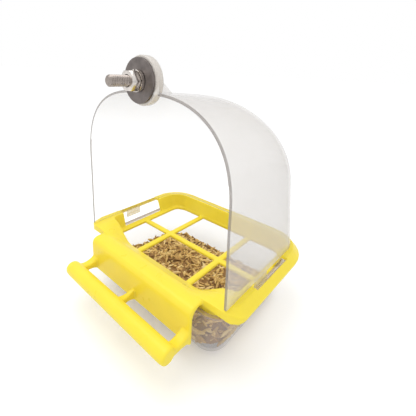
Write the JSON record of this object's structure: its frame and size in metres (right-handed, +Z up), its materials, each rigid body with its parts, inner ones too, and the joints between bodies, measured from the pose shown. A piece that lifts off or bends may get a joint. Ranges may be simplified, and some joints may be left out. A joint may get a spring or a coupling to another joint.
{
  "type": "cage feeder cup",
  "caption": "Hooded cage feeder: clear domed hood on a moulded tray with grille, hook and perch, a clear seed cup below, and a bolt clamp for the cage wires.",
  "frame": {"origin": "on the ground plane under the middle of the feeder's box, where the seed cup's flat bottom stands", "axes": "+X to the right seen from the open front, +Y backwards into the hood, +Z up"},
  "size_m": [0.144, 0.1332, 0.1711],
  "materials": {
    "hood_clear": "clear moulded polystyrene, polished",
    "cup_clear": "clear moulded polystyrene, polished",
    "tray_yellow": "glossy injection-moulded yellow",
    "seed_mix": "loose dry seed mix",
    "bright_zinc": "bright zinc plate",
    "dark_zinc": "dull dark zinc plate"
  },
  "bodies": {
    "tray": {"feeder_tray": "tray_yellow"},
    "hood": {"hood": "hood_clear", "clamp_bolt": "bright_zinc"},
    "cup": {"seed_cup": "cup_clear", "seed_fill": "seed_mix"},
    "washers": {"fender_washer": "dark_zinc", "spring_washer": "bright_zinc"},
    "nut": {"hex_nut": "bright_zinc"}
  },
  "joints": [
    {"name": "hood_lift", "type": "slide", "parent": "tray", "child": "hood", "axis": [0, 0, 1], "range_m": [0, 0.03]},
    {"name": "cup_drop", "type": "slide", "parent": "tray", "child": "cup", "axis": [0, 0, -1], "range_m": [0, 0.03]},
    {"name": "washer_slide", "type": "slide", "parent": "hood", "child": "washers", "axis": [0, -1, 0], "range_m": [0, 0.01]},
    {"name": "nut_turn", "type": "hinge", "parent": "washers", "child": "nut", "pos_m": [0, -0.04, 0.1579], "axis": [0, -1, 0], "range_deg": [0, 3600]}
  ],
  "couplings": [
    {"joint": "nut_turn", "follows": "washer_slide", "rad_per_m": 6283.2}
  ]
}
